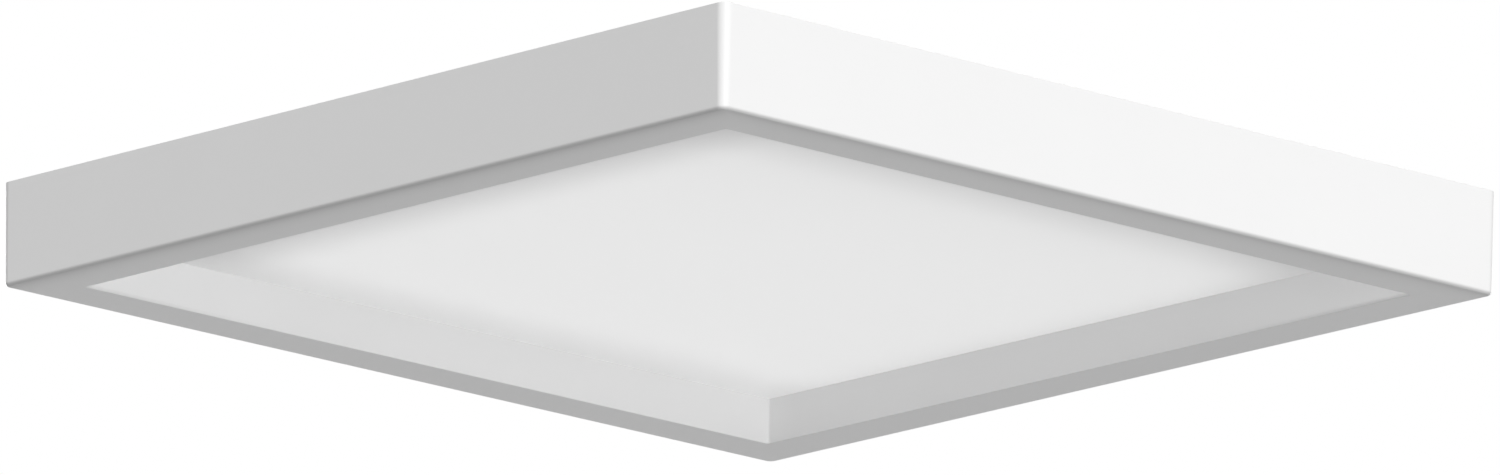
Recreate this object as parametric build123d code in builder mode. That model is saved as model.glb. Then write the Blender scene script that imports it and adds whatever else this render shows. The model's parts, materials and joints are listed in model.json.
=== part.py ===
from build123d import *
import os
from math import radians, tan

# Square ceiling light with a recessed opal diffuser, in millimetres.
# The ceiling is the plane Z = 0, the light hangs below it, and the origin is the middle of its pan.

# Frame: the moulded white surround
ceiling_width = 300.0
body_height = 30.2
ceiling_gap = 0.5
side_draft = 1.08
corner_radius = 3.0
foot_edge_radius = 1.0
border_width = 16.75
recess_depth = 13.5
frame_wall = 2.0
border_thickness = 2.2
reveal_wall = 2.0
reveal_draft = 1.0
opening_corner_radius = 0.6
opening_edge_radius = 0.3
inner_corner_radius = 1.0
web_thickness = 1.6
web_drop = 3.3
stop_gap = 0.3
boss_radius = 2.5
boss_from_opening_corner = 6.7

# Diffuser and what holds it down
diffuser_thickness = 2.0
diffuser_overlap = 1.7
diffuser_corner_radius = 2.0
diffuser_clearance = 0.4
washer_radius = 4.5
washer_thickness = 0.8
diffuser_screw_radius = 1.45
diffuser_screw_length = 9.5

# Screws and rivets
thread_clearance = 0.05
screw_radius = 1.5
screw_head_radius = 2.8
screw_head_height = 1.8
screw_tip = 0.8
rivet_radius = 1.6
rivet_head_radius = 2.8
rivet_head_height = 1.0
rivet_head_round = 0.7

# Base pan: pressed steel, screwed to the ceiling
pan_sheet = 1.0
pan_clearance = 0.5
flange_depth = 9.0
pan_corner_radius = 4.0
pan_bend_radius = 1.5
press_radius = 0.8
pad_height = 2.0
pad_foot_radius = 13.0
pad_top_radius = 9.5
ceiling_hole_radius = 2.75
bead_height = 1.2
bead_width = 9.0
bead_end_gap = 45.0
bead_draft = 35.0

# Cable grommet
grommet_bore_radius = 4.0
grommet_neck_radius = 6.0
grommet_flange_radius = 8.0
grommet_top_flange = 1.4
grommet_low_flange = 1.6
grommet_sleeve_length = 2.0
grommet_sleeve_wall = 1.4
grommet_fit = 0.05
grommet_edge_radius = 0.5

# Spring clips
clip_sheet = 0.5
clip_width = 12.0
clip_along = 70.0
clip_foot_length = 13.0
clip_bend_radius = 1.0
clip_drop = 0.6
clip_nose_drop = 5.0
clip_tail_drop = 10.0
clip_tail_return = 2.2
clip_clearance = 0.3
clip_rivet_spacing = 7.0

# Reflector tray and light source
skirt_inset = 1.7
skirt_run = 11.0
skirt_gap = 0.8
reflector_sheet = 0.5
access_hole_radius = 7.0
strip_count = 8
strip_width = 12.0
strip_thickness = 1.2
strip_edge_gap = 5.5
strip_end_gap = 2.0
link_width = 8.0
link_end_gap = 1.0
leds_per_strip = 10
led_length = 3.5
led_width = 2.8
led_height = 0.8
led_window_gap = 0.5

# Channel between the reveal and the pan's flange, on the +Y side
channel_clearance = 0.5
channel_floor_gap = 2.5
piece_gap = 1.5
ear_length = 8.0
ear_thickness = 2.5

# Terminal block
pole_count = 3
pole_pitch = 8.0
terminal_wall = 1.0
terminal_cap_thickness = 1.2
wire_row_offset = 2.8
wire_hole_clearance = 0.2
wire_hole_depth = 6.0
wire_in_hole = 3.0
button_length = 4.0
button_width = 2.2
button_shoulder = 0.8
button_shoulder_height = 1.5
button_guide_height = 4.0
button_proud = 0.9
button_clearance = 0.2
button_seat_gap = 0.05
leaf_sheet = 0.3
leaf_width = 2.0
leaf_foot = 1.2
leaf_bend_radius = 0.4

# Driver
lead_room = 31.0
case_wall = 1.0
case_corner_radius = 0.8
lid_thickness = 1.0
lid_lip = 0.5
lid_lip_width = 0.8
lid_clearance = 0.15
board_thickness = 1.2
board_clearance = 0.3
ledge_width = 0.5
ledge_height = 1.2
transformer_length = 14.0
transformer_width = 7.0
transformer_height = 13.0
transformer_yoke = 2.6
winding_margin = 0.6
choke_radius = 3.4
choke_core_radius = 2.2
choke_flange = 1.2
choke_height = 9.0
capacitor_radius = 3.5
capacitor_height = 14.0
capacitor_edge_radius = 0.7
capacitor_spacing = 36.0
component_spacing = 20.0

# Leads that stay inside
lead_radius = 1.0
lead_clearance = 0.1
lead_gap = 0.4
lead_bend_radius = 4.0
lead_drop = 6.2
lead_past_wall = 3.0
led_lead_radius = 0.55
led_lead_spacing = 3.2
led_lead_inset = 5.0
led_lead_level = 5.0
led_lead_straight = 5.0
led_lead_slant = 5.0
led_lead_bend_radius = 2.0

# Levels
rim_z = -ceiling_gap
face_z = rim_z - body_height
border_top_z = face_z + border_thickness
seat_z = face_z + recess_depth
diffuser_top_z = seat_z + diffuser_thickness
pan_top_z = -pad_height
pan_under_z = pan_top_z - pan_sheet
flange_bottom_z = pan_top_z - flange_depth
strip_face_z = pan_under_z - strip_thickness
reflector_face_z = strip_face_z - reflector_sheet
skirt_bottom_z = diffuser_top_z + skirt_gap
driver_bottom_z = border_top_z + channel_floor_gap
lid_top_z = driver_bottom_z + lid_thickness
board_bottom_z = lid_top_z + lid_lip
board_top_z = board_bottom_z + board_thickness
lead_z = board_top_z + lead_clearance + lead_radius
upper_lead_z = lead_z + 2 * lead_radius + lead_gap
terminal_bottom_z = lead_z + lead_drop
terminal_top_z = pan_under_z - terminal_cap_thickness


def frame_inner_half(level):
    """Half the clear width between the frame's outer walls at one level."""
    return ceiling_width / 2 - frame_wall - tan(radians(side_draft)) * (rim_z - level)


# Half widths, from the middle of the light outwards
face_half = ceiling_width / 2 - tan(radians(side_draft)) * body_height
opening_half = face_half - border_width
diffuser_half = opening_half + diffuser_overlap
boss_out = diffuser_half + diffuser_clearance + boss_radius
boss_along = opening_half - boss_from_opening_corner
stop_inner = boss_out + washer_radius + diffuser_clearance
pan_half = frame_inner_half(flange_bottom_z) - pan_clearance
flange_inner = pan_half - pan_sheet
skirt_bottom_half = opening_half - skirt_inset
reflector_half = skirt_bottom_half - skirt_run
channel_inner = opening_half + reveal_wall + channel_clearance
channel_outer = flange_inner - channel_clearance
channel_mid = (channel_inner + channel_outer) / 2
channel_room = channel_outer - channel_inner

# Light source pattern
outer_strip_x = reflector_half - strip_edge_gap - strip_width / 2
strip_pitch = 2 * outer_strip_x / (strip_count - 1)
strip_length = 2 * (reflector_half - strip_end_gap)
led_pitch = strip_length / leds_per_strip
strip_xs = [(i - (strip_count - 1) / 2) * strip_pitch for i in range(strip_count)]
strip_screw_y = (leds_per_strip / 2 - 2) * led_pitch
ceiling_screw_reach = (strip_count / 2 - 1) * strip_pitch
link_y = strip_length / 2 - link_end_gap - link_width / 2

# Places along the +Y channel, from the -X corner to the +X corner
grommet_x = -boss_along + grommet_flange_radius
grommet_y = channel_outer - grommet_flange_radius
terminal_start = grommet_x + grommet_flange_radius + piece_gap + ear_length
terminal_length = pole_count * pole_pitch + 2 * terminal_wall
terminal_end = terminal_start + terminal_length
terminal_mid = (terminal_start + terminal_end) / 2
driver_start = terminal_end + ear_length + lead_room
driver_end = boss_along - washer_radius - piece_gap - ear_length
driver_length = driver_end - driver_start
driver_mid = (driver_start + driver_end) / 2
pole_xs = [terminal_mid + (i - (pole_count - 1) / 2) * pole_pitch for i in range(pole_count)]

boss_points = []
for turn in range(4):
    for side_offset in (-boss_along, boss_along):
        corner_point = Vector(boss_out, side_offset, 0).rotate(Axis.Z, 90 * turn)
        boss_points.append((corner_point.X, corner_point.Y))

strip_screw_points = [(x, y) for x in strip_xs for y in (-strip_screw_y, strip_screw_y)]
driver_screw_points = [
    (driver_start - ear_length / 2, channel_mid),
    (driver_end + ear_length / 2, channel_mid),
]
terminal_screw_points = [
    (terminal_start - ear_length / 2, channel_mid),
    (terminal_end + ear_length / 2, channel_mid),
]
clip_rivet_out = flange_inner - clip_foot_length / 2
clip_sides = [(0, -clip_along), (0, clip_along), (2, -clip_along), (2, clip_along)]
clip_rivet_points = []
for turn, side_offset in clip_sides:
    for shift in (-clip_rivet_spacing / 2, clip_rivet_spacing / 2):
        rivet_point = Vector(clip_rivet_out, side_offset + shift, 0).rotate(Axis.Z, 90 * turn)
        clip_rivet_points.append((rivet_point.X, rivet_point.Y))

UP = (Align.CENTER, Align.CENTER, Align.MIN)
DOWN = (Align.CENTER, Align.CENTER, Align.MAX)

os.makedirs("parts", exist_ok=True)


def save(piece, label):
    """Label one finished piece and write it as its own file."""
    piece.part.label = label
    export_step(piece.part, f"parts/{label}.step")


def side_section(turn, along):
    """Plane square to one side of the light: its X runs outwards and its Y runs up."""
    outward = Vector(1, 0, 0).rotate(Axis.Z, 90 * turn)
    tangent = Vector(0, 1, 0).rotate(Axis.Z, 90 * turn)
    return Plane(origin=tangent * along, x_dir=outward, z_dir=outward.cross(Vector(0, 0, 1)))


def at_level(points, level):
    """Points of a flat pattern, lifted to one level."""
    return [(x, y, level) for x, y in points]


# Frame: drafted outer walls, flat border, and the reveal that the diffuser lies on
with BuildPart() as frame:
    with BuildSketch(Plane.XY.offset(rim_z)):
        RectangleRounded(ceiling_width, ceiling_width, corner_radius)
    extrude(amount=-body_height, taper=side_draft)
    fillet(frame.faces().sort_by(Axis.Z)[0].edges(), foot_edge_radius)
    with BuildSketch(Plane.XY.offset(rim_z)):
        rim_inner_width = ceiling_width - 2 * frame_wall
        RectangleRounded(rim_inner_width, rim_inner_width, inner_corner_radius)
    extrude(amount=-(body_height - border_thickness), taper=side_draft, mode=Mode.SUBTRACT)
    with BuildSketch(Plane.XY.offset(border_top_z)):
        reveal_width = 2 * (opening_half + reveal_wall)
        RectangleRounded(reveal_width, reveal_width, opening_corner_radius + reveal_wall)
    extrude(amount=recess_depth - border_thickness, taper=reveal_draft)
    with BuildSketch(Plane.XY.offset(face_z)):
        RectangleRounded(2 * opening_half, 2 * opening_half, opening_corner_radius)
    extrude(amount=recess_depth, mode=Mode.SUBTRACT)
    fillet(frame.faces().sort_by(Axis.Z)[0].inner_wires()[0].edges(), opening_edge_radius)
    # Webs across the channel, with a step that stops the frame under the pan's flange
    for turn in range(4):
        for side_offset in (-boss_along, boss_along):
            with BuildSketch(side_section(turn, side_offset)):
                with BuildLine():
                    web_root = opening_half + reveal_wall / 2
                    web_tip = frame_inner_half(border_top_z) + frame_wall / 2
                    web_foot_z = border_top_z - border_thickness / 2
                    web_top_z = diffuser_top_z - web_drop
                    stop_z = flange_bottom_z - stop_gap
                    Polyline(
                        (web_root, web_foot_z),
                        (web_tip, web_foot_z),
                        (web_tip, stop_z),
                        (stop_inner, stop_z),
                        (stop_inner, web_top_z),
                        (web_root, web_top_z),
                        close=True,
                    )
                make_face()
            extrude(amount=web_thickness / 2, both=True)
    # Screw bosses beside the diffuser's edge
    with BuildSketch(Plane.XY.offset(border_top_z)):
        with Locations(*boss_points):
            Circle(boss_radius)
    extrude(amount=diffuser_top_z - border_top_z)
    with Locations(*at_level(boss_points, diffuser_top_z)):
        Cylinder(
            diffuser_screw_radius + thread_clearance,
            diffuser_screw_length,
            align=DOWN,
            mode=Mode.SUBTRACT,
        )
save(frame, "frame")

with BuildPart() as diffuser:
    with BuildSketch(Plane.XY.offset(seat_z)):
        RectangleRounded(2 * diffuser_half, 2 * diffuser_half, diffuser_corner_radius)
    extrude(amount=diffuser_thickness)
save(diffuser, "diffuser")

with BuildPart() as diffuser_washers:
    with BuildSketch(Plane.XY.offset(diffuser_top_z)):
        with Locations(*boss_points):
            Circle(washer_radius)
            Circle(diffuser_screw_radius + thread_clearance, mode=Mode.SUBTRACT)
    extrude(amount=washer_thickness)
save(diffuser_washers, "diffuser_washers")

# Base pan: shallow pressed tray, resting on the ceiling at four raised pads
with BuildPart() as base_pan:
    with BuildSketch(Plane.XY.offset(pan_top_z)):
        RectangleRounded(2 * pan_half, 2 * pan_half, pan_corner_radius)
    extrude(amount=-flange_depth)
    fillet(base_pan.faces().sort_by(Axis.Z)[-1].edges(), pan_bend_radius)
    with BuildSketch(Plane.XY.offset(pan_under_z)):
        RectangleRounded(2 * flange_inner, 2 * flange_inner, pan_corner_radius - pan_sheet)
    extrude(amount=-(flange_depth - pan_sheet), mode=Mode.SUBTRACT)
    pad_points = [
        (x, y) for x in (-ceiling_screw_reach, ceiling_screw_reach)
        for y in (-ceiling_screw_reach, ceiling_screw_reach)
    ]
    with Locations(*at_level(pad_points, pan_top_z)):
        Cone(pad_foot_radius, pad_top_radius, pad_height, align=UP)
    pad_edges = base_pan.edges(Select.LAST).filter_by(GeomType.CIRCLE).group_by(Axis.Z)
    fillet(pad_edges[0], press_radius)
    fillet(pad_edges[-1], press_radius + pan_sheet)
    with Locations(*at_level(pad_points, pan_under_z)):
        Cone(
            pad_foot_radius - pan_sheet,
            pad_top_radius - pan_sheet,
            pad_height,
            align=UP,
            mode=Mode.SUBTRACT,
        )
    hollow_edges = base_pan.edges(Select.LAST).filter_by(GeomType.CIRCLE).group_by(Axis.Z)
    fillet(hollow_edges[0], press_radius + pan_sheet)
    fillet(hollow_edges[-1], press_radius)
    with Locations(*at_level(pad_points, pan_under_z)):
        Cylinder(ceiling_hole_radius, pad_height + pan_sheet, align=UP, mode=Mode.SUBTRACT)
    # Stiffening beads, pressed up between the light strips
    bead_xs = [-2 * strip_pitch, 0, 2 * strip_pitch]
    bead_length = 2 * (reflector_half - bead_end_gap)
    with BuildSketch(Plane.XY.offset(pan_top_z)):
        with Locations(*[(x, 0) for x in bead_xs]):
            SlotOverall(bead_length, bead_width, rotation=90)
    extrude(amount=bead_height, taper=bead_draft)
    bead_edges = base_pan.edges(Select.LAST).group_by(Axis.Z)
    fillet(bead_edges[0], press_radius)
    fillet(bead_edges[-1], press_radius)
    with BuildSketch(Plane.XY.offset(pan_under_z)):
        with Locations(*[(x, 0) for x in bead_xs]):
            SlotOverall(bead_length - 2 * pan_sheet, bead_width - 2 * pan_sheet, rotation=90)
    extrude(amount=bead_height, taper=bead_draft, mode=Mode.SUBTRACT)
    # Holes for the screws, the rivets and the grommet
    with BuildSketch(Plane.XY.offset(pan_under_z)):
        with Locations(*strip_screw_points, *driver_screw_points, *terminal_screw_points):
            Circle(screw_radius + thread_clearance)
        with Locations(*clip_rivet_points):
            Circle(rivet_radius + thread_clearance)
        with Locations((grommet_x, grommet_y)):
            Circle(grommet_neck_radius + grommet_fit)
    extrude(amount=pan_sheet, mode=Mode.SUBTRACT)
save(base_pan, "base_pan")

# Grommet: grooved rubber bush with a short sleeve below
with BuildPart() as cable_grommet:
    bore_axis = Axis((grommet_x, grommet_y, 0), (0, 0, 1))
    with BuildSketch(Plane(origin=(grommet_x, grommet_y, 0), x_dir=(1, 0, 0), z_dir=(0, -1, 0))):
        with BuildLine():
            groove_top_z = pan_top_z + grommet_fit
            groove_low_z = pan_under_z - grommet_fit
            top_z = groove_top_z + grommet_top_flange
            low_flange_z = groove_low_z - grommet_low_flange
            sleeve_radius = grommet_bore_radius + grommet_sleeve_wall
            Polyline(
                (grommet_bore_radius, top_z),
                (grommet_flange_radius, top_z),
                (grommet_flange_radius, groove_top_z),
                (grommet_neck_radius, groove_top_z),
                (grommet_neck_radius, groove_low_z),
                (grommet_flange_radius, groove_low_z),
                (grommet_flange_radius, low_flange_z),
                (sleeve_radius, low_flange_z),
                (sleeve_radius, low_flange_z - grommet_sleeve_length),
                (grommet_bore_radius, low_flange_z - grommet_sleeve_length),
                close=True,
            )
        make_face()
    revolve(axis=bore_axis)
    flange_edges = cable_grommet.edges().filter_by(
        lambda edge: edge.geom_type == GeomType.CIRCLE and edge.radius > grommet_neck_radius
    )
    fillet(flange_edges, grommet_edge_radius)
save(cable_grommet, "cable_grommet")

# Spring clips: a foot under the pan, a leg down the flange and a nose that bears on the frame
for index, (turn, side_offset) in enumerate(clip_sides, start=1):
    with BuildPart() as spring_clip:
        with BuildSketch(side_section(turn, side_offset)):
            with BuildLine():
                foot_z = pan_under_z - clip_sheet / 2
                leg_out = flange_inner - clip_sheet / 2
                leg_end_z = flange_bottom_z - clip_drop
                nose_z = flange_bottom_z - clip_nose_drop
                nose_out = frame_inner_half(nose_z) - clip_clearance - clip_sheet / 2
                FilletPolyline(
                    (leg_out - clip_foot_length, foot_z),
                    (leg_out, foot_z),
                    (leg_out, leg_end_z),
                    (nose_out, nose_z),
                    (nose_out - clip_tail_return, flange_bottom_z - clip_tail_drop),
                    radius=clip_bend_radius,
                )
            trace(line_width=clip_sheet)
        extrude(amount=clip_width / 2, both=True)
        with Locations(*at_level(clip_rivet_points, pan_under_z)):
            Cylinder(rivet_radius + thread_clearance, clip_sheet, align=DOWN, mode=Mode.SUBTRACT)
    save(spring_clip, f"spring_clip_{index}")

with BuildPart() as clip_rivets:
    with Locations(*at_level(clip_rivet_points, pan_under_z - clip_sheet)):
        Cylinder(rivet_radius, pan_sheet + clip_sheet, align=UP)
        Cylinder(rivet_head_radius, rivet_head_height, align=DOWN)
    with Locations(*at_level(clip_rivet_points, pan_top_z)):
        Cylinder(rivet_head_radius, rivet_head_height, align=UP)
    head_edges = clip_rivets.edges().filter_by(GeomType.CIRCLE).group_by(Axis.Z)
    fillet(head_edges[0] + head_edges[-1], rivet_head_round)
save(clip_rivets, "clip_rivets")

# Reflector: folded sheet tray with sloping sides, a window for each light source
with BuildPart() as reflector:
    with BuildSketch(Plane.XY.offset(strip_face_z)):
        Rectangle(2 * reflector_half, 2 * reflector_half)
    with BuildSketch(Plane.XY.offset(skirt_bottom_z)):
        Rectangle(2 * skirt_bottom_half, 2 * skirt_bottom_half)
    loft(ruled=True)
    offset(amount=-reflector_sheet, openings=reflector.faces().sort_by(Axis.Z)[0], kind=Kind.INTERSECTION)
    with BuildSketch(Plane.XY.offset(reflector_face_z)):
        with GridLocations(strip_pitch, led_pitch, strip_count, leds_per_strip):
            Rectangle(led_width + led_window_gap, led_length + led_window_gap)
        with Locations(*strip_screw_points):
            Circle(screw_radius + thread_clearance)
        with Locations(*pad_points):
            Circle(access_hole_radius)
    extrude(amount=reflector_sheet, mode=Mode.SUBTRACT)
save(reflector, "reflector")

for index, strip_x in enumerate(strip_xs, start=1):
    with BuildPart() as led_strip:
        with BuildSketch(Plane.XY.offset(strip_face_z)):
            with Locations((strip_x, 0)):
                Rectangle(strip_width, strip_length)
            with Locations((strip_x, -strip_screw_y), (strip_x, strip_screw_y)):
                Circle(screw_radius + thread_clearance, mode=Mode.SUBTRACT)
        extrude(amount=strip_thickness)
    save(led_strip, f"led_strip_{index}")

with BuildPart() as led_packages:
    with BuildSketch(Plane.XY.offset(strip_face_z)):
        with GridLocations(strip_pitch, led_pitch, strip_count, leds_per_strip):
            Rectangle(led_width, led_length)
    extrude(amount=-led_height)
save(led_packages, "led_packages")

# Link boards join each strip to the next, at one end and then the other
with BuildPart() as strip_links:
    with BuildSketch(Plane.XY.offset(strip_face_z)):
        for index, strip_x in enumerate(strip_xs[:-1]):
            link_side = -1 if index % 2 else 1
            with Locations((strip_x + strip_pitch / 2, link_side * link_y)):
                Rectangle(strip_pitch - strip_width, link_width)
    extrude(amount=strip_thickness)
save(strip_links, "strip_links")


def pan_screws(label, points, seat_z, shank_length):
    """Pan head screws that go up from a seat, with the heads below it."""
    with BuildPart() as screws:
        with Locations(*at_level(points, seat_z)):
            Cylinder(screw_radius, shank_length, align=UP)
            Cylinder(screw_head_radius, screw_head_height, align=DOWN)
        fillet(screws.edges().filter_by(GeomType.CIRCLE).group_by(Axis.Z)[0], screw_head_height / 2)
    save(screws, label)


pan_screws(
    "strip_screws",
    strip_screw_points,
    reflector_face_z,
    reflector_sheet + strip_thickness + pan_sheet + screw_tip,
)
pan_screws(
    "driver_screws",
    driver_screw_points,
    pan_under_z - ear_thickness,
    ear_thickness + pan_sheet + screw_tip,
)
pan_screws(
    "terminal_screws",
    terminal_screw_points,
    pan_under_z - ear_thickness,
    ear_thickness + pan_sheet + screw_tip,
)

with BuildPart() as diffuser_screws:
    with Locations(*at_level(boss_points, diffuser_top_z + washer_thickness)):
        Cylinder(diffuser_screw_radius, diffuser_screw_length, align=DOWN)
        Cylinder(screw_head_radius, screw_head_height, align=UP)
    fillet(
        diffuser_screws.edges().filter_by(GeomType.CIRCLE).group_by(Axis.Z)[-1],
        screw_head_height / 2,
    )
save(diffuser_screws, "diffuser_screws")

# Terminal block: a pole for each conductor, with a wire entry on both sides of its button
pocket_length = button_length + 2 * button_shoulder + 2 * button_clearance
pocket_width = button_width + 2 * button_clearance
guide_length = button_length + 2 * button_clearance
step_z = terminal_bottom_z + button_guide_height
shoulder_z = step_z + button_seat_gap
button_top_z = shoulder_z + button_shoulder_height
wire_rows = (channel_mid - wire_row_offset, channel_mid + wire_row_offset)
with BuildPart() as terminal_block:
    with BuildSketch(Plane.XY.offset(terminal_top_z)):
        with Locations((terminal_mid, channel_mid)):
            Rectangle(terminal_length, channel_room)
    extrude(amount=-(terminal_top_z - terminal_bottom_z))
    with BuildSketch(Plane.XY.offset(pan_under_z)):
        with Locations(*terminal_screw_points):
            Rectangle(ear_length, channel_room)
            Circle(screw_radius + thread_clearance, mode=Mode.SUBTRACT)
    extrude(amount=-ear_thickness)
    with BuildSketch(Plane.XY.offset(step_z)):
        with Locations(*[(x, channel_mid) for x in pole_xs]):
            Rectangle(pocket_length, pocket_width)
    extrude(amount=terminal_top_z - step_z, mode=Mode.SUBTRACT)
    with BuildSketch(Plane.XY.offset(terminal_bottom_z)):
        with Locations(*[(x, channel_mid) for x in pole_xs]):
            Rectangle(guide_length, pocket_width)
    extrude(amount=button_guide_height, mode=Mode.SUBTRACT)
    with BuildSketch(Plane.XY.offset(terminal_bottom_z)):
        with Locations(*[(x, y) for x in pole_xs for y in wire_rows]):
            Circle(lead_radius + wire_hole_clearance)
    extrude(amount=wire_hole_depth, mode=Mode.SUBTRACT)
save(terminal_block, "terminal_block")

with BuildPart() as terminal_cap:
    with BuildSketch(Plane.XY.offset(terminal_top_z)):
        with Locations((terminal_mid, channel_mid)):
            Rectangle(terminal_length, channel_room)
    extrude(amount=terminal_cap_thickness)
save(terminal_cap, "terminal_cap")

for index, pole_x in enumerate(pole_xs, start=1):
    with BuildPart() as terminal_button:
        with BuildSketch(Plane.XY.offset(shoulder_z)):
            with Locations((pole_x, channel_mid)):
                Rectangle(button_length + 2 * button_shoulder, button_width)
        extrude(amount=button_shoulder_height)
        with BuildSketch(Plane.XY.offset(shoulder_z)):
            with Locations((pole_x, channel_mid)):
                Rectangle(button_length, button_width)
        extrude(amount=-(shoulder_z - terminal_bottom_z + button_proud))
    save(terminal_button, f"terminal_button_{index}")

    # Leaf spring folded into a V between the cap and the button
    with BuildPart() as terminal_spring:
        with BuildSketch(Plane(origin=(pole_x, channel_mid, 0), x_dir=(1, 0, 0), z_dir=(0, -1, 0))):
            with BuildLine():
                leaf_reach = pocket_length / 2 - button_clearance - leaf_sheet
                leaf_top_z = terminal_top_z - leaf_sheet / 2
                leaf_low_z = button_top_z + leaf_sheet / 2
                FilletPolyline(
                    (-leaf_reach, leaf_top_z),
                    (leaf_foot - leaf_reach, leaf_top_z),
                    (leaf_reach, (leaf_top_z + leaf_low_z) / 2),
                    (leaf_foot - leaf_reach, leaf_low_z),
                    (-leaf_reach, leaf_low_z),
                    radius=leaf_bend_radius,
                )
            trace(line_width=leaf_sheet)
        extrude(amount=leaf_width / 2, both=True)
    save(terminal_spring, f"terminal_spring_{index}")

# Driver: a case open below, its lid, and a board hung with parts
case_depth = pan_under_z - lid_top_z
case_inner_length = driver_length - 2 * case_wall
case_inner_width = channel_room - 2 * case_wall
led_lead_xs = [
    driver_end - led_lead_inset - led_lead_spacing / 2,
    driver_end - led_lead_inset + led_lead_spacing / 2,
]
led_lead_z = pan_under_z - led_lead_level
with BuildPart() as driver_case:
    with BuildSketch(Plane.XY.offset(lid_top_z)):
        with Locations((driver_mid, channel_mid)):
            RectangleRounded(driver_length, channel_room, case_corner_radius)
    extrude(amount=case_depth)
    with BuildSketch(Plane.XY.offset(lid_top_z)):
        with Locations((driver_mid, channel_mid)):
            Rectangle(case_inner_length, case_inner_width)
    extrude(amount=case_depth - case_wall, mode=Mode.SUBTRACT)
    with BuildSketch(Plane.XY.offset(pan_under_z)):
        with Locations(
            (driver_start - ear_length / 2 + case_wall / 2, channel_mid),
            (driver_end + ear_length / 2 - case_wall / 2, channel_mid),
        ):
            Rectangle(ear_length + case_wall, channel_room)
        with Locations(*driver_screw_points):
            Circle(screw_radius + thread_clearance, mode=Mode.SUBTRACT)
    extrude(amount=-ear_thickness)
    # Ledges that the board bears on, clear of the leads at both ends
    ledge_length = case_inner_length - 4 * lead_past_wall
    ledge_offset = (case_inner_width - ledge_width) / 2
    with BuildSketch(Plane.XY.offset(board_top_z)):
        with Locations((driver_mid, channel_mid - ledge_offset), (driver_mid, channel_mid + ledge_offset)):
            Rectangle(ledge_length, ledge_width)
    extrude(amount=ledge_height)
    # Entries for the leads
    with BuildSketch(Plane.YZ.offset(driver_start)):
        with Locations((wire_rows[1], lead_z), (wire_rows[1], upper_lead_z)):
            Circle(lead_radius + lead_clearance)
    extrude(amount=case_wall, mode=Mode.SUBTRACT)
    with BuildSketch(Plane.XZ.offset(-channel_inner)):
        with Locations(*[(x, led_lead_z) for x in led_lead_xs]):
            Circle(led_lead_radius + lead_clearance)
    extrude(amount=-case_wall, mode=Mode.SUBTRACT)
save(driver_case, "driver_case")

with BuildPart() as driver_lid:
    with BuildSketch(Plane.XY.offset(driver_bottom_z)):
        with Locations((driver_mid, channel_mid)):
            RectangleRounded(driver_length, channel_room, case_corner_radius)
    extrude(amount=lid_thickness)
    with BuildSketch(Plane.XY.offset(lid_top_z)):
        with Locations((driver_mid, channel_mid)):
            lip_length = case_inner_length - 2 * lid_clearance
            lip_width = case_inner_width - 2 * lid_clearance
            Rectangle(lip_length, lip_width)
            Rectangle(lip_length - 2 * lid_lip_width, lip_width - 2 * lid_lip_width, mode=Mode.SUBTRACT)
    extrude(amount=lid_lip)
save(driver_lid, "driver_lid")

with BuildPart() as driver_board:
    with BuildSketch(Plane.XY.offset(board_bottom_z)):
        with Locations((driver_mid, channel_mid)):
            Rectangle(case_inner_length - 2 * board_clearance, case_inner_width - 2 * board_clearance)
    extrude(amount=board_thickness)
save(driver_board, "driver_board")

# Transformer: two yokes and side limbs round a winding
with BuildPart() as driver_transformer:
    with BuildSketch(Plane.XZ.offset(-channel_mid)):
        with Locations((driver_mid, board_top_z + transformer_height / 2)):
            Rectangle(transformer_length, transformer_height)
            Rectangle(
                transformer_length - 2 * transformer_yoke,
                transformer_height - 2 * transformer_yoke,
                mode=Mode.SUBTRACT,
            )
    extrude(amount=transformer_width / 2, both=True)
    with Locations((driver_mid, channel_mid, board_top_z + transformer_height / 2)):
        Cylinder(
            transformer_width / 2 - winding_margin,
            transformer_height - 2 * transformer_yoke,
        )
save(driver_transformer, "driver_transformer")

# Choke: a drum core with two flanges
with BuildPart() as driver_choke:
    choke_x = driver_mid + component_spacing
    with Locations((choke_x, channel_mid, board_top_z)):
        Cylinder(choke_core_radius, choke_height, align=UP)
        Cylinder(choke_radius, choke_flange, align=UP)
    with Locations((choke_x, channel_mid, board_top_z + choke_height)):
        Cylinder(choke_radius, choke_flange, align=DOWN)
save(driver_choke, "driver_choke")

with BuildPart() as driver_capacitors:
    with BuildSketch(Plane.XY.offset(board_top_z)):
        with Locations(
            (driver_mid - capacitor_spacing, channel_mid),
            (driver_mid + capacitor_spacing, channel_mid),
        ):
            Circle(capacitor_radius)
    extrude(amount=capacitor_height)
    fillet(
        driver_capacitors.edges().filter_by(GeomType.CIRCLE).group_by(Axis.Z)[-1],
        capacitor_edge_radius,
    )
save(driver_capacitors, "driver_capacitors")

# Supply leads: down from the outer row of the terminals, then one above the other into the driver
supply_leads = {
    "live_lead": (pole_xs[-1], upper_lead_z),
    "neutral_lead": (pole_xs[-2], lead_z),
}
lead_y = wire_rows[1]
lead_top_z = terminal_bottom_z + wire_in_hole
for lead_name, (lead_x, run_z) in supply_leads.items():
    with BuildPart() as supply_lead:
        with BuildLine():
            FilletPolyline(
                (lead_x, lead_y, lead_top_z),
                (lead_x, lead_y, run_z),
                (driver_start + case_wall + lead_past_wall, lead_y, run_z),
                radius=lead_bend_radius,
            )
        with BuildSketch(Plane.XY.offset(lead_top_z)):
            with Locations((lead_x, lead_y)):
                Circle(lead_radius)
        sweep()
    save(supply_lead, lead_name)

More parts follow.
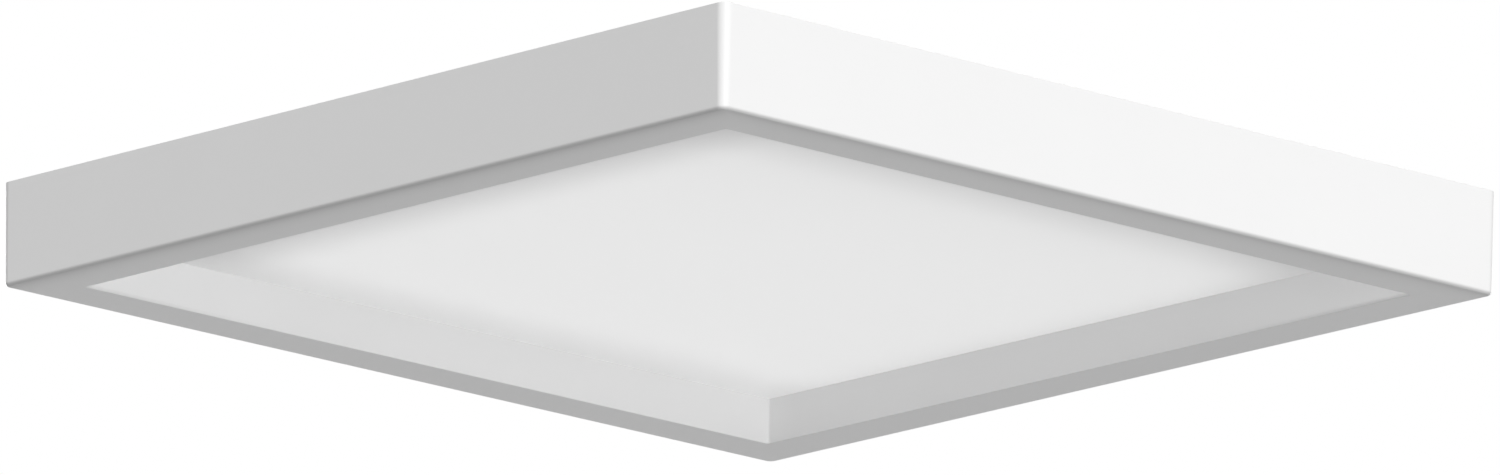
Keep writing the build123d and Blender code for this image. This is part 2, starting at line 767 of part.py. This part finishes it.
# Output leads: up from the driver's board, out through its case and across to the nearest strip
with BuildPart() as led_leads:
    strip_level = strip_face_z + strip_thickness / 2
    strip_end_y = strip_length / 2
    for lead_x in led_lead_xs:
        with BuildLine() as led_lead_path:
            FilletPolyline(
                (lead_x, channel_mid, board_top_z),
                (lead_x, channel_mid, led_lead_z),
                (lead_x, strip_end_y + led_lead_straight + led_lead_slant, led_lead_z),
                (lead_x, strip_end_y + led_lead_straight, strip_level),
                (lead_x, strip_end_y, strip_level),
                radius=led_lead_bend_radius,
            )
        with BuildSketch(Plane.XY.offset(board_top_z)):
            with Locations((lead_x, channel_mid)):
                Circle(led_lead_radius)
        sweep(path=led_lead_path.line)
save(led_leads, "led_leads")
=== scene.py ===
import json
import math

import bmesh
import bpy
from mathutils import Matrix, Quaternion, Vector


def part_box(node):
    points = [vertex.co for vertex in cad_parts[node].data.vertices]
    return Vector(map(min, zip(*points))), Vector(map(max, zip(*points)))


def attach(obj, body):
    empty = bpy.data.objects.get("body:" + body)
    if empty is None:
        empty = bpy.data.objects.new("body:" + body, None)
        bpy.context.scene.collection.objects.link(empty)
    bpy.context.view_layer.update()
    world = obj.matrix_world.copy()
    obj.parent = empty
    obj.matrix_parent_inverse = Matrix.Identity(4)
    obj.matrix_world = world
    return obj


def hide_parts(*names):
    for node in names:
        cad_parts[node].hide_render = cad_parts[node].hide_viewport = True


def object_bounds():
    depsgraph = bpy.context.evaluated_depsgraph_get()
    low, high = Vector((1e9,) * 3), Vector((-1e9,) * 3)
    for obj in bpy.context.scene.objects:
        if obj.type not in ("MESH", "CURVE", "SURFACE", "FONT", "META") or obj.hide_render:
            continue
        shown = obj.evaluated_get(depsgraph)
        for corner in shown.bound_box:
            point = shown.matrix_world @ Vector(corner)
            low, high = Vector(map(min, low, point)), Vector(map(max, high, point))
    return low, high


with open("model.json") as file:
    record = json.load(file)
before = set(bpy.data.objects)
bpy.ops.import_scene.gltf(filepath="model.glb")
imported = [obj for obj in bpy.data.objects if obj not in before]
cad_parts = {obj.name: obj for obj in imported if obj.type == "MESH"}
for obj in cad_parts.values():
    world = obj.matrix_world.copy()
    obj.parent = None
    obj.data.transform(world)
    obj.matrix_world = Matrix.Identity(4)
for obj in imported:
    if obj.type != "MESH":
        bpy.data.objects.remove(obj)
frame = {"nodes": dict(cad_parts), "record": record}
cad_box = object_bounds()

# Every length is in metres
WELD = 0.000001

# Noise: how many finer layers a skin and a cloud have
SKIN_DETAIL = 2.0
CLOUD_DETAIL = 3.0

# Plain black and white
BLACK = (0.0, 0.0, 0.0, 1.0)
WHITE = (1.0, 1.0, 1.0, 1.0)


class Wire:
    """A socket of a shader, with arithmetic that adds the Math nodes it needs."""

    def __init__(self, tree, socket=None):
        self.tree = tree
        self.socket = socket

    def join(self, socket, value):
        """Link a wire to a socket, or set the socket to a plain value."""
        if isinstance(value, Wire):
            self.tree.links.new(value.socket, socket)
        else:
            socket.default_value = value

    def node(self, kind, settings=None, inputs=None, output=0):
        """A new node with its settings, then its sockets, as a wire from one of its outputs."""
        made = self.tree.nodes.new(kind)
        for name, value in (settings or {}).items():
            setattr(made, name, value)
        for name, value in (inputs or {}).items():
            self.join(made.inputs[name], value)
        return Wire(self.tree, made.outputs[output])

    def other(self, output):
        """A wire from another output of the node that this one comes from."""
        return Wire(self.tree, self.socket.node.outputs[output])

    def maths(self, operation, *values):
        """A Math node's result for one or two values."""
        return self.node("ShaderNodeMath", {"operation": operation}, dict(enumerate(values)))

    def between(self, low, high):
        """This value as a smooth step from 0 at one value to 1 at another."""
        return self.node(
            "ShaderNodeMapRange",
            {"interpolation_type": "SMOOTHSTEP"},
            {"Value": self, "From Min": low, "From Max": high},
        )

    def tint(self, first, second):
        """The colour that this value picks between two colours."""
        return self.node("ShaderNodeMix", {"data_type": "RGBA"}, {0: self, 6: first, 7: second}, output=2)

    def __add__(self, other):
        return self.maths("ADD", self, other)

    def __sub__(self, other):
        return self.maths("SUBTRACT", self, other)

    def __rsub__(self, other):
        return self.maths("SUBTRACT", other, self)

    def __mul__(self, other):
        return self.maths("MULTIPLY", self, other)

    __radd__ = __add__
    __rmul__ = __mul__


def grey(level):
    """A neutral colour of one linear level."""
    return (level, level, level, 1.0)


def shaded(colour, share):
    """A colour made darker or lighter by a share."""
    return tuple(min(channel * share, 1.0) for channel in colour) + (1.0,)


def start_finish(name, fixed):
    """A new material whose shader has its even values set, with a wire to build the rest from."""
    material = bpy.data.materials.new(name)
    material.use_nodes = True
    shader = material.node_tree.nodes["Principled BSDF"]
    for socket, value in fixed.items():
        shader.inputs[socket].default_value = value
    return material, shader, Wire(material.node_tree)


def place(wire):
    """Where a point is on the light."""
    return wire.node("ShaderNodeTexCoord", output="Object")


def axes(wire):
    """Where a point is on the light, as a wire of X with Y and Z beside it."""
    return wire.node("ShaderNodeSeparateXYZ", inputs={"Vector": place(wire)})


def grain(wire, size, detail=SKIN_DETAIL, vector=None):
    """Even noise whose lumps have one size."""
    return wire.node(
        "ShaderNodeTexNoise",
        inputs={"Vector": vector or place(wire), "Scale": 1.0 / size, "Detail": detail},
        output="Fac",
    )


def roughen(wire, shader, height, depth):
    """Raise the surface by a height pattern, as deep as the depth."""
    bump = wire.node("ShaderNodeBump", inputs={"Distance": depth, "Height": height})
    wire.join(shader.inputs["Normal"], bump)


# Moulded finishes: the clouds' tones, and how the clouds and the skin vary the roughness
MOULDED_IOR = 1.48
MOULDED_TONES = (0.94, 1.05)
MOULDED_SMOOTHER = 0.06
MOULDED_CLOUD_ROUGHNESS = 0.08
MOULDED_SKIN_ROUGHNESS = 0.05


def moulded(name, colour, roughness, skin_size, skin_depth, cloud_size):
    """Moulded plastic or rubber: a fine spark-eroded skin, faint clouds in its colour and its gloss."""
    material, shader, wire = start_finish(name, {"IOR": MOULDED_IOR})
    clouds = grain(wire, cloud_size, CLOUD_DETAIL)
    skin = grain(wire, skin_size)
    wire.join(shader.inputs["Base Color"], clouds.tint(*(shaded(colour, tone) for tone in MOULDED_TONES)))
    uneven = MOULDED_CLOUD_ROUGHNESS * clouds + MOULDED_SKIN_ROUGHNESS * skin
    wire.join(shader.inputs["Roughness"], roughness - MOULDED_SMOOTHER + uneven)
    roughen(wire, shader, skin, skin_depth)
    return material


# Brushed finishes: the lines' share of the colour, its tones, and how lines and stains vary the roughness
LINE_SHARE = 0.6
LINE_DEPTH = 0.00001
STAIN_SIZE = 0.006
BRUSHED_TONES = (0.82, 1.12)
BRUSHED_SMOOTHER = 0.1
BRUSHED_LINE_ROUGHNESS = 0.14
BRUSHED_STAIN_ROUGHNESS = 0.08


def brushed(name, colour, roughness, closeness):
    """Rolled or brushed metal, with fine lines that run along one direction."""
    material, shader, wire = start_finish(name, {"Metallic": 1.0})
    drawn_out = wire.node("ShaderNodeMapping", inputs={"Vector": place(wire), "Scale": closeness})
    lines = grain(wire, 1.0, CLOUD_DETAIL, drawn_out)
    stains = grain(wire, STAIN_SIZE, CLOUD_DETAIL)
    tone = LINE_SHARE * lines + (1 - LINE_SHARE) * stains
    wire.join(shader.inputs["Base Color"], tone.tint(*(shaded(colour, share) for share in BRUSHED_TONES)))
    uneven = BRUSHED_LINE_ROUGHNESS * lines + BRUSHED_STAIN_ROUGHNESS * stains
    wire.join(shader.inputs["Roughness"], roughness - BRUSHED_SMOOTHER + uneven)
    roughen(wire, shader, lines, LINE_DEPTH)
    return material


# White moulding: where its border and its opening are, from the middle of the light
FACE_HALF = 0.14943
OPENING_HALF = 0.13268
FACE_LEVEL = -0.0307

# Its flow clouds and its skin
WHITE_SHEEN = {"Specular IOR Level": 0.22, "IOR": 1.49, "Emission Strength": 1.0}
WHITE_TONES = (0.85, 0.87)
WHITE_CLOUD_SIZE = 0.045
WHITE_SKIN_SIZE = 0.0005
WHITE_SKIN_DEPTH = 0.000015
WHITE_ROUGHNESS = 0.38
WHITE_CLOUD_ROUGHNESS = 0.06
WHITE_SKIN_ROUGHNESS = 0.04

# Painted shade along its front and right feet: rise above the face, tone, each foot's strength and halving
PAINTED_SHADE_RISE = (0.0002, 0.00135)
PAINTED_SHADE_TONE = 0.4
FRONT_PAINTED_SHADE = (0.83, 0.0026)
RIGHT_PAINTED_SHADE = (0.7, 0.002)

# Painted light on its reveal, a faint glow towards the front and the right ends that lifts the shade there,
# where the opal sheet fades
REVEAL_PAINTED_LIGHT = 0.14
REVEAL_FRONT_SHARE = 0.75
REVEAL_FADE = (0.04, 0.135)
REVEAL_SKIN = (0.0003, 0.0006)


def white_moulding():
    """Satin white moulding: fine skin, faint clouds, painted shade along two feet and painted light on the
    reveal.
    """
    material, shader, wire = start_finish("white_moulding", WHITE_SHEEN)
    clouds = grain(wire, WHITE_CLOUD_SIZE, CLOUD_DETAIL)
    skin = grain(wire, WHITE_SKIN_SIZE)
    across = axes(wire)
    forwards = -1 * across.other("Y")
    # Painted shade along the front and right feet: it fades out up the wall and halves inwards across the
    # face
    low = 1 - across.other("Z").between(*(FACE_LEVEL + rise for rise in PAINTED_SHADE_RISE))
    edges = [
        strength * wire.maths("POWER", 0.5, (FACE_HALF - reach) * (1 / halving))
        for reach, (strength, halving) in ((forwards, FRONT_PAINTED_SHADE), (across, RIGHT_PAINTED_SHADE))
    ]
    shade = low * wire.maths("MAXIMUM", *edges)
    # Painted light: the reveal glows faintly towards its front and right ends
    outwards = wire.maths("MAXIMUM", wire.maths("ABSOLUTE", across), wire.maths("ABSOLUTE", forwards))
    from_reveal = wire.maths("ABSOLUTE", outwards - OPENING_HALF)
    reveal = (1 - from_reveal.between(*REVEAL_SKIN)) * (1 - low)
    to_front = REVEAL_FRONT_SHARE * forwards.between(*REVEAL_FADE)
    to_ends = wire.maths("MAXIMUM", across.between(*REVEAL_FADE), to_front)
    glow = REVEAL_PAINTED_LIGHT * reveal * to_ends
    white = clouds.tint(*(grey(tone) for tone in WHITE_TONES))
    uneven = WHITE_CLOUD_ROUGHNESS * clouds + WHITE_SKIN_ROUGHNESS * skin
    # Base colour: the white clouds, darkened by the painted shade along two feet
    wire.join(shader.inputs["Base Color"], shade.tint(white, grey(PAINTED_SHADE_TONE)))
    # Emission: the painted light on the reveal
    wire.join(shader.inputs["Emission Color"], glow.tint(BLACK, WHITE))
    wire.join(shader.inputs["Roughness"], WHITE_ROUGHNESS + uneven)
    roughen(wire, shader, skin, WHITE_SKIN_DEPTH)
    return material


# Opal sheet: its faint clouds and its matt skin
OPAL_SHEEN = {"Specular IOR Level": 0.3, "IOR": 1.49, "Emission Strength": 1.0}
OPAL_TONES = (0.88, 0.9)
OPAL_CLOUD_SIZE = 0.03
OPAL_SKIN_SIZE = 0.0004
OPAL_SKIN_DEPTH = 0.00001
OPAL_ROUGHNESS = 0.46
OPAL_SKIN_ROUGHNESS = 0.08

# The glow behind it, how far from each side of the opening it fades, and its loss above and at two corners;
# the fades are partly the sheet's own fall-off and partly painted shade, wider at the right and front, and
# the loss at two corners is painted shade
GLOW_MOST = 0.37
GLOW_LEAST = 0.09
FADE_RIGHT = (0.009, 0.066)
FADE_FRONT = (0.021, 0.063)
FADE_LEFT = (-0.018, 0.032)
FADE_BACK = (-0.025, 0.018)
DIMMING_ABOVE = 0.5
CORNER_FADE = (0.17, 0.25)
CORNER_PAINTED_SHADE = 0.5


def opal_sheet():
    """Opal sheet with a matt face, lit from behind by a soft glow that fades towards the reveal, with
    painted shade in its wider fades at the right and front and at two corners.
    """
    material, shader, wire = start_finish("opal_sheet", OPAL_SHEEN)
    across = axes(wire)
    depth = across.other("Y")
    # The glow fades towards each side of the opening; the wider fades at the right and front are painted
    # shade
    sideways = (OPENING_HALF - across).between(*FADE_RIGHT) * (OPENING_HALF + across).between(*FADE_LEFT)
    lengthways = (OPENING_HALF + depth).between(*FADE_FRONT) * (OPENING_HALF - depth).between(*FADE_BACK)
    underside, upside = (corner[2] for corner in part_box("diffuser"))
    above = across.other("Z").between(underside, (underside + upside) / 2)
    # Painted shade: the glow dips at two corners
    corners = wire.maths("ABSOLUTE", across + depth).between(*CORNER_FADE)
    full = GLOW_LEAST + (GLOW_MOST - GLOW_LEAST) * (sideways * lengthways)
    glow = (1 - DIMMING_ABOVE * above) * full * (1 - CORNER_PAINTED_SHADE * corners)
    clouds = grain(wire, OPAL_CLOUD_SIZE)
    skin = grain(wire, OPAL_SKIN_SIZE)
    wire.join(shader.inputs["Base Color"], clouds.tint(*(grey(tone) for tone in OPAL_TONES)))
    wire.join(shader.inputs["Emission Color"], glow.tint(BLACK, WHITE))
    wire.join(shader.inputs["Roughness"], OPAL_ROUGHNESS + OPAL_SKIN_ROUGHNESS * skin)
    roughen(wire, shader, skin, OPAL_SKIN_DEPTH)
    return material


# Galvanised steel: ragged crystals, the feathers of frost on each, and a slow drift over the sheet
ZINC_METALLIC = 0.85
ZINC_DARK = (0.36, 0.38, 0.4, 1.0)
ZINC_LIGHT = (0.6, 0.615, 0.63, 1.0)
CRYSTAL_CLOSENESS = 170.0
CRYSTAL_SHARE = 0.3
RAGGED_CLOSENESS = 240.0
RAGGED_REACH = (0.002, 0.002, 0.002)
FEATHER_CLOSENESS = (2000.0, 240.0, 240.0)
FEATHER_SHARE = 0.4
FEATHER_DEPTH = 0.00002
DRIFT_SIZE = 0.06
DRIFT_SHARE = 0.3
ZINC_ROUGHNESS = 0.5
ZINC_CRYSTAL_ROUGHNESS = 0.1
ZINC_FEATHER_ROUGHNESS = 0.14


def galvanised_steel():
    """Hot-dipped steel sheet: crystals a few millimetres wide, each frosted along its own direction."""
    material, shader, wire = start_finish("galvanised_steel", {"Metallic": ZINC_METALLIC})
    waves = wire.node(
        "ShaderNodeTexNoise",
        inputs={"Vector": place(wire), "Scale": RAGGED_CLOSENESS},
        output="Color",
    )
    ragged = wire.node(
        "ShaderNodeVectorMath",
        {"operation": "MULTIPLY_ADD"},
        {0: waves, 1: RAGGED_REACH, 2: place(wire)},
    )
    crystal = wire.node(
        "ShaderNodeTexVoronoi",
        inputs={"Vector": ragged, "Scale": CRYSTAL_CLOSENESS},
        output="Color",
    )
    tone = wire.node("ShaderNodeSeparateColor", inputs={"Color": crystal})
    turned = wire.node(
        "ShaderNodeVectorRotate",
        {"rotation_type": "Z_AXIS"},
        {"Vector": place(wire), "Angle": math.tau * tone.other("Blue")},
    )
    drawn_out = wire.node("ShaderNodeMapping", inputs={"Vector": turned, "Scale": FEATHER_CLOSENESS})
    feathers = grain(wire, 1.0, CLOUD_DETAIL, drawn_out)
    drift = grain(wire, DRIFT_SIZE, CLOUD_DETAIL)
    shade = CRYSTAL_SHARE * tone + FEATHER_SHARE * feathers + DRIFT_SHARE * drift
    uneven = ZINC_CRYSTAL_ROUGHNESS * tone.other("Green") + ZINC_FEATHER_ROUGHNESS * feathers
    wire.join(shader.inputs["Base Color"], shade.tint(ZINC_DARK, ZINC_LIGHT))
    wire.join(shader.inputs["Roughness"], ZINC_ROUGHNESS + uneven)
    roughen(wire, shader, feathers, FEATHER_DEPTH)
    return material


# Brushed metals: colour, roughness, and how close the lines are along each axis
BRUSHED_METALS = {
    "spring_steel": ((0.6, 0.6, 0.59), 0.3, (250.0, 4000.0, 250.0)),
    "rivet_aluminium": ((0.68, 0.69, 0.7), 0.5, (1500.0, 1500.0, 1500.0)),
    "zinc_screw": ((0.62, 0.64, 0.66), 0.34, (1200.0, 1200.0, 3000.0)),
    "capacitor_can": ((0.12, 0.13, 0.17), 0.4, (3000.0, 3000.0, 200.0)),
}

# Moulded and coated pieces: colour, roughness, the size and depth of the skin, and the size of the clouds
MOULDINGS = {
    "black_rubber": ((0.022, 0.022, 0.023), 0.72, 0.0006, 0.00004, 0.02),
    "white_sheet": ((0.86, 0.865, 0.87), 0.55, 0.0003, 0.00001, 0.05),
    "light_board": ((0.82, 0.82, 0.8), 0.45, 0.0003, 0.00001, 0.02),
    "phosphor": ((0.82, 0.6, 0.16), 0.4, 0.0002, 0.00001, 0.002),
    "driver_plastic": ((0.62, 0.62, 0.6), 0.55, 0.0004, 0.00002, 0.02),
    "green_board": ((0.02, 0.12, 0.05), 0.4, 0.0008, 0.00002, 0.006),
    "ferrite": ((0.03, 0.03, 0.033), 0.6, 0.0004, 0.00003, 0.02),
    "terminal_plastic": ((0.56, 0.58, 0.57), 0.5, 0.0004, 0.00002, 0.02),
    "button_plastic": ((0.72, 0.2, 0.02), 0.42, 0.0004, 0.00002, 0.02),
    "brown_insulation": ((0.08, 0.03, 0.012), 0.35, 0.0008, 0.00002, 0.02),
    "blue_insulation": ((0.02, 0.07, 0.3), 0.35, 0.0008, 0.00002, 0.02),
    "white_insulation": ((0.75, 0.75, 0.72), 0.35, 0.0008, 0.00002, 0.02),
}

finishes = {
    "white_moulding": white_moulding(),
    "opal_sheet": opal_sheet(),
    "galvanised_steel": galvanised_steel(),
}
for name, values in BRUSHED_METALS.items():
    finishes[name] = brushed(name, *values)
for name, values in MOULDINGS.items():
    finishes[name] = moulded(name, *values)
for subpart in frame["record"]["subparts"]:
    frame["nodes"][subpart["node"]].material_slots[0].material = finishes[subpart["material_slot"]]


def solids_of(node):
    """The lowest and highest corners of each separate solid of a CAD node."""
    shape = bmesh.new()
    shape.from_mesh(frame["nodes"][node].data)
    bmesh.ops.remove_doubles(shape, verts=shape.verts, dist=WELD)
    waiting = set(shape.verts)
    found = []
    while waiting:
        group = [waiting.pop()]
        for vertex in group:
            for edge in vertex.link_edges:
                other = edge.other_vert(vertex)
                if other in waiting:
                    waiting.remove(other)
                    group.append(other)
        found.append([Vector(pick(v.co[axis] for v in group) for axis in range(3)) for pick in (min, max)])
    shape.free()
    return sorted(found, key=lambda corners: tuple(corners[0]))


def as_mesh(name, shape):
    """A mesh from a finished shape, with its faces turned outwards."""
    bmesh.ops.recalc_face_normals(shape, faces=shape.faces)
    mesh = bpy.data.meshes.new(name)
    shape.to_mesh(mesh)
    shape.free()
    return mesh


def add_piece(name, pattern, places, slot, body, node):
    """A piece of many copies of one pattern, which stands for a CAD node and moves with its body."""
    shape = bmesh.new()
    for matrix in places:
        before = len(shape.verts)
        shape.from_mesh(pattern)
        shape.verts.ensure_lookup_table()
        bmesh.ops.transform(shape, matrix=matrix, verts=shape.verts[before:])
    mesh = as_mesh(name, shape)
    mesh.materials.append(finishes[slot])
    piece = bpy.data.objects.new(name, mesh)
    bpy.context.scene.collection.objects.link(piece)
    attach(piece, body)
    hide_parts(node)


def face_down(shape):
    """The lowest face of a shape."""
    return min(shape.faces, key=lambda face: face.calc_center_median().z)


def soften(shape, edges, width):
    """Round edges of a shape off over a width."""
    bmesh.ops.bevel(shape, geom=edges, offset=width, affect="EDGES", segments=2, profile=0.5, material=-1)


# Light sources: a white cup with a rim round its yellow filling
CUP_CORNER = 0.0003
CUP_RIM = 0.0003
CUP_DEPTH = 0.0003
CUP_SLOPE = 0.00006
FILLING_DROP = 0.00006
FILLING_EDGE = 0.0001


def source_cup(size):
    """A cup that is open underneath, with rounded corners and a sloping inside."""
    cup = bmesh.new()
    bmesh.ops.create_cube(cup, size=1.0, matrix=Matrix.Diagonal((*size, 1.0)))
    upright = [edge for edge in cup.edges if abs(edge.verts[0].co.z - edge.verts[1].co.z) > WELD]
    soften(cup, upright, CUP_CORNER)
    mouth = face_down(cup)
    bmesh.ops.inset_region(cup, faces=[mouth], thickness=CUP_RIM)
    bmesh.ops.inset_region(cup, faces=[mouth], thickness=CUP_SLOPE, depth=-CUP_DEPTH)
    return as_mesh("cup", cup)


def source_filling(size):
    """The filling of a cup, with its lower edge rounded."""
    filling = bmesh.new()
    narrower = 2 * (CUP_RIM + CUP_SLOPE)
    filling_size = size - Vector((narrower, narrower, size.z - CUP_DEPTH + FILLING_DROP))
    filling_middle = (-size.z + CUP_DEPTH + FILLING_DROP) / 2
    bmesh.ops.create_cube(filling, size=1.0, matrix=Matrix.Diagonal((*filling_size, 1.0)))
    bmesh.ops.translate(filling, verts=filling.verts, vec=(0.0, 0.0, filling_middle))
    soften(filling, list(face_down(filling).edges), FILLING_EDGE)
    return as_mesh("filling", filling)


source_boxes = solids_of("led_packages")
source_size = source_boxes[0][1] - source_boxes[0][0]
source_places = [Matrix.Translation((low + high) / 2) for low, high in source_boxes]
add_piece("source_cups", source_cup(source_size), source_places, "white_sheet", "base", "led_packages")
add_piece("source_fillings", source_filling(source_size), source_places, "phosphor", "base", "led_packages")

# Screws: a rounded pan head, in shares of its radius and height, a cross recess and a threaded shank
HEAD_PROFILE = ((0.62, 0.0), (0.75, 0.03), (0.88, 0.14), (0.96, 0.32), (1.0, 0.55), (1.0, 0.92), (0.97, 1.0))
HEAD_RADIUS = 0.0028
HEAD_HEIGHT = 0.0018
SHANK_RADIUS = 0.00145
THREAD_DEPTH = 0.0002
THREAD_PITCH = 0.0006
TIP_LENGTH = 0.0005
CROSS_ARMS = 4
CROSS_REACH = 0.0014
CROSS_WIDTH = 0.00045
CROSS_DEPTH = 0.0011
CROSS_TAPER = 0.55
SCREW_SIDES = 24
SCREW_TURN = math.radians(37.0)


def screw(name, length):
    """A screw whose head rests at the origin and whose shank points up."""
    turns = int((length - HEAD_HEIGHT - TIP_LENGTH) / THREAD_PITCH)
    core_radius = SHANK_RADIUS - THREAD_DEPTH
    profile = [(share * HEAD_RADIUS, rise * HEAD_HEIGHT) for share, rise in HEAD_PROFILE]
    profile.append((core_radius, HEAD_HEIGHT))
    for turn in range(turns):
        start = length - TIP_LENGTH - (turns - turn) * THREAD_PITCH
        profile.append((core_radius, start))
        profile.append((SHANK_RADIUS, start + THREAD_PITCH / 2))
    profile.append((core_radius, length - TIP_LENGTH))
    profile.append((0.0, length))
    shape = bmesh.new()
    line = [shape.verts.new((radius, 0.0, rise)) for radius, rise in profile]
    edges = [shape.edges.new(pair) for pair in zip(line, line[1:])]
    bmesh.ops.spin(
        shape,
        geom=line + edges,
        cent=(0, 0, 0),
        axis=(0, 0, 1),
        angle=math.tau,
        steps=SCREW_SIDES,
        use_merge=True,
    )
    bmesh.ops.remove_doubles(shape, verts=shape.verts, dist=WELD)
    ring = [edge for edge in shape.edges if edge.is_boundary]
    arm = [(CROSS_WIDTH, CROSS_REACH), (CROSS_WIDTH, CROSS_WIDTH), (CROSS_REACH, CROSS_WIDTH)]
    outline = []
    for turn in range(CROSS_ARMS):
        spin = Matrix.Rotation(-turn * math.tau / CROSS_ARMS, 2)
        outline += [shape.verts.new((*(spin @ Vector(corner)), 0.0)) for corner in arm]
    cross = [shape.edges.new(pair) for pair in zip(outline, outline[1:] + outline[:1])]
    bmesh.ops.bridge_loops(shape, edges=ring + cross)
    walls = bmesh.ops.extrude_edge_only(shape, edges=cross)["geom"]
    deep = [item for item in walls if isinstance(item, bmesh.types.BMVert)]
    bmesh.ops.scale(shape, vec=(CROSS_TAPER, CROSS_TAPER, 1.0), verts=deep)
    bmesh.ops.translate(shape, vec=(0.0, 0.0, CROSS_DEPTH), verts=deep)
    bmesh.ops.holes_fill(shape, edges=[edge for edge in shape.edges if edge.is_boundary], sides=0)
    return as_mesh(name, shape)


def add_screws(node, body, head_up):
    """Screws in the places of a CAD node's plain ones, with their heads up or down."""
    boxes = solids_of(node)
    length = boxes[0][1].z - boxes[0][0].z
    flip = Matrix.Rotation(math.pi if head_up else 0.0, 4, "X")
    places = []
    for index, (low, high) in enumerate(boxes):
        head = (low + high) / 2
        head.z = high.z if head_up else low.z
        places.append(Matrix.Translation(head) @ flip @ Matrix.Rotation(index * SCREW_TURN, 4, "Z"))
    add_piece(f"{node}_cross", screw(node, length), places, "zinc_screw", body, node)


add_screws("strip_screws", "base", head_up=False)
add_screws("driver_screws", "base", head_up=False)
add_screws("terminal_screws", "base", head_up=False)
add_screws("diffuser_screws", "cover", head_up=True)

# Camera: far off with a long lens, below the light and looking up at one corner
VIEW_AZIMUTH = math.radians(47.016)
VIEW_RISE = math.radians(13.84)
VIEW_ROLL = math.radians(0.817)
VIEW_DISTANCE = 6.3715
VIEW_RIGHT = 0.00045
VIEW_UP = 0.0003
VIEW_LENS = 540.0
VIEW_SENSOR = 36.0
VIEW_END = 100.0

camera = bpy.data.objects.new("camera", bpy.data.cameras.new("camera"))
bpy.context.scene.collection.objects.link(camera)
camera.data.lens = VIEW_LENS
camera.data.sensor_width = VIEW_SENSOR
camera.data.clip_end = VIEW_END
heading = Vector((
    -math.sin(VIEW_AZIMUTH) * math.cos(VIEW_RISE),
    math.cos(VIEW_AZIMUTH) * math.cos(VIEW_RISE),
    math.sin(VIEW_RISE),
))
level = Vector((math.cos(VIEW_AZIMUTH), math.sin(VIEW_AZIMUTH), 0.0))
middle = (cad_box[0] + cad_box[1]) / 2
aim = middle + level * VIEW_RIGHT + level.cross(heading) * VIEW_UP
camera.location = aim - heading * VIEW_DISTANCE
camera.rotation_mode = "QUATERNION"
camera.rotation_quaternion = heading.to_track_quat("-Z", "Y") @ Quaternion((0.0, 0.0, 1.0), VIEW_ROLL)
bpy.context.scene.camera = camera

# Lights: azimuth, 0 in front and 90 on the right, angle above the horizon, both in degrees, and power
LIGHT_SPREAD = math.radians(10.0)
LIGHTS = {
    "light_right": (62.0, 5.0, 1.715),
    "light_low_right": (86.0, -10.0, 0.86),
    "light_low_front": (4.0, -10.0, 0.215),
    "light_left": (245.0, 6.0, 1.05),
    "light_back": (210.0, 4.0, 0.4),
    "light_top": (225.0, 75.0, 0.22),
}


def soft_sun(name, azimuth, rise, power):
    """A soft, even light from far off on one side."""
    lamp = bpy.data.objects.new(name, bpy.data.lights.new(name, "SUN"))
    bpy.context.scene.collection.objects.link(lamp)
    lamp.data.angle = LIGHT_SPREAD
    lamp.data.energy = power
    turn = math.radians(azimuth)
    lift = math.radians(rise)
    away = Vector((math.sin(turn) * math.cos(lift), -math.cos(turn) * math.cos(lift), math.sin(lift)))
    lamp.rotation_mode = "QUATERNION"
    lamp.rotation_quaternion = (-away).to_track_quat("-Z", "Y")


for name, values in LIGHTS.items():
    soft_sun(name, *values)

# Floor of the room, far below; from underneath it is see-through
FLOOR_LEVEL = -2.4
FLOOR_HALF = 2.2
FLOOR_TONES = (0.86, 0.9)
FLOOR_CLOUD_SIZE = 0.5
FLOOR_ROUGHNESS = 0.8

floor_shape = bmesh.new()
bmesh.ops.create_grid(floor_shape, x_segments=1, y_segments=1, size=FLOOR_HALF)
bmesh.ops.translate(floor_shape, verts=floor_shape.verts, vec=(0.0, 0.0, FLOOR_LEVEL))
floor_mesh = bpy.data.meshes.new("floor")
floor_shape.to_mesh(floor_mesh)
floor_shape.free()
floor = bpy.data.objects.new("floor", floor_mesh)
bpy.context.scene.collection.objects.link(floor)
floor_finish, floor_shader, floor_wire = start_finish("pale_floor", {"Roughness": FLOOR_ROUGHNESS})
floor_clouds = grain(floor_wire, FLOOR_CLOUD_SIZE)
floor_colour = floor_clouds.tint(*(grey(tone) for tone in FLOOR_TONES))
floor_wire.join(floor_shader.inputs["Base Color"], floor_colour)
one_sided = floor_wire.node(
    "ShaderNodeMixShader",
    inputs={
        0: floor_wire.node("ShaderNodeNewGeometry", output="Backfacing"),
        1: Wire(floor_wire.tree, floor_shader.outputs[0]),
        2: floor_wire.node("ShaderNodeBsdfTransparent"),
    },
)
floor_wire.join(floor_wire.tree.nodes["Material Output"].inputs["Surface"], one_sided)
floor_mesh.materials.append(floor_finish)

# White surroundings for the eye and for reflections, softer light for everything else
SURROUND_LIGHT = 0.301
SURROUND_SEEN = 1.0

world = bpy.data.worlds.new("studio")
world.use_nodes = True
world.node_tree.nodes.clear()
bpy.context.scene.world = world
studio = Wire(world.node_tree)
from_camera = studio.node("ShaderNodeLightPath", output="Is Camera Ray")
mirrored = studio.maths(
    "MAXIMUM",
    from_camera.other("Is Glossy Ray"),
    from_camera.other("Is Transmission Ray"),
)
surroundings = studio.node(
    "ShaderNodeMixShader",
    inputs={
        0: studio.maths("MAXIMUM", from_camera, mirrored),
        1: studio.node("ShaderNodeBackground", inputs={"Color": WHITE, "Strength": SURROUND_LIGHT}),
        2: studio.node("ShaderNodeBackground", inputs={"Color": WHITE, "Strength": SURROUND_SEEN}),
    },
)
world_end = world.node_tree.nodes.new("ShaderNodeOutputWorld")
studio.join(world_end.inputs["Surface"], surroundings)

bpy.context.scene.view_settings.view_transform = "Standard"
